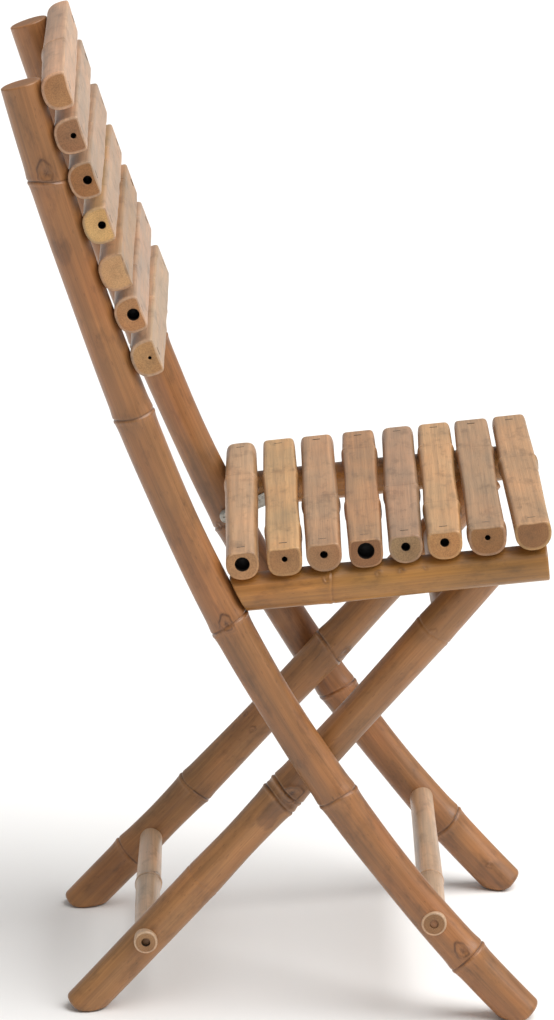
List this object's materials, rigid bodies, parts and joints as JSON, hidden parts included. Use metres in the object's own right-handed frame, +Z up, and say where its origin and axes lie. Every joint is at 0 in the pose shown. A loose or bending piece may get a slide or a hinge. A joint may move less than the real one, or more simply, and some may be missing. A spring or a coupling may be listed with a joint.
{
  "type": "bamboo folding chair",
  "caption": "Folding chair of bamboo culms: bent crossed legs, a slatted back, and a slatted seat that unhooks and folds up against the back poles.",
  "frame": {"origin": "on the floor, in the middle of the chair's depth and width", "axes": "+X to the chair's front, +Y to the sitter's left, +Z up"},
  "size_m": [0.4843, 0.4074, 0.8695],
  "materials": {
    "bamboo_poles": "clear varnished bamboo, dark stains at the nodes",
    "bamboo_legs": "clear varnished bamboo, brown stains at the nodes",
    "bamboo_rails": "clear varnished bamboo, golden brown",
    "bamboo_slats": "bamboo with a planed and varnished upper face",
    "bamboo_rungs": "clear varnished bamboo, pale",
    "steel_fittings": "zinc plated, dulled",
    "staple_wire": "galvanised wire"
  },
  "bodies": {
    "long_frame": {"long_pole_left": "bamboo_poles", "long_pole_right": "bamboo_poles", "back_slat_1": "bamboo_slats", "back_slat_2": "bamboo_slats", "back_slat_3": "bamboo_slats", "back_slat_4": "bamboo_slats", "back_slat_5": "bamboo_slats", "back_slat_6": "bamboo_slats", "back_slat_7": "bamboo_slats", "back_staples": "staple_wire", "front_rung": "bamboo_rungs", "leg_pivot_pin_left": "steel_fittings", "leg_pivot_pin_right": "steel_fittings", "leg_pivot_washer_left": "steel_fittings", "leg_pivot_washer_right": "steel_fittings", "catch_bolt_left": "steel_fittings", "catch_bolt_right": "steel_fittings"},
    "short_legs": {"short_leg_left": "bamboo_legs", "short_leg_right": "bamboo_legs", "rear_rung": "bamboo_rungs", "upper_rung": "bamboo_rungs"},
    "seat": {"seat_rail_left": "bamboo_rails", "seat_rail_right": "bamboo_rails", "seat_slat_1": "bamboo_slats", "seat_slat_2": "bamboo_slats", "seat_slat_3": "bamboo_slats", "seat_slat_4": "bamboo_slats", "seat_slat_5": "bamboo_slats", "seat_slat_6": "bamboo_slats", "seat_slat_7": "bamboo_slats", "seat_slat_8": "bamboo_slats", "seat_staples": "staple_wire", "seat_pivot_pin_left": "steel_fittings", "seat_pivot_pin_right": "steel_fittings", "seat_pivot_washer_left": "steel_fittings", "seat_pivot_washer_right": "steel_fittings", "seat_hook_left": "steel_fittings", "seat_hook_right": "steel_fittings", "hook_screws": "steel_fittings"}
  },
  "joints": [
    {"name": "leg_fold", "type": "hinge", "parent": "long_frame", "child": "short_legs", "pos_m": [0.03487, 0, 0.23657], "axis": [0, -1, 0], "range_deg": [0, 50]},
    {"name": "seat_fold", "type": "hinge", "parent": "short_legs", "child": "seat", "pos_m": [0.19112, 0, 0.411], "axis": [0, 1, 0], "range_deg": [0, 140]}
  ],
  "couplings": [
    {"joint": "seat_fold", "follows": "leg_fold", "ratio": 2.8}
  ]
}
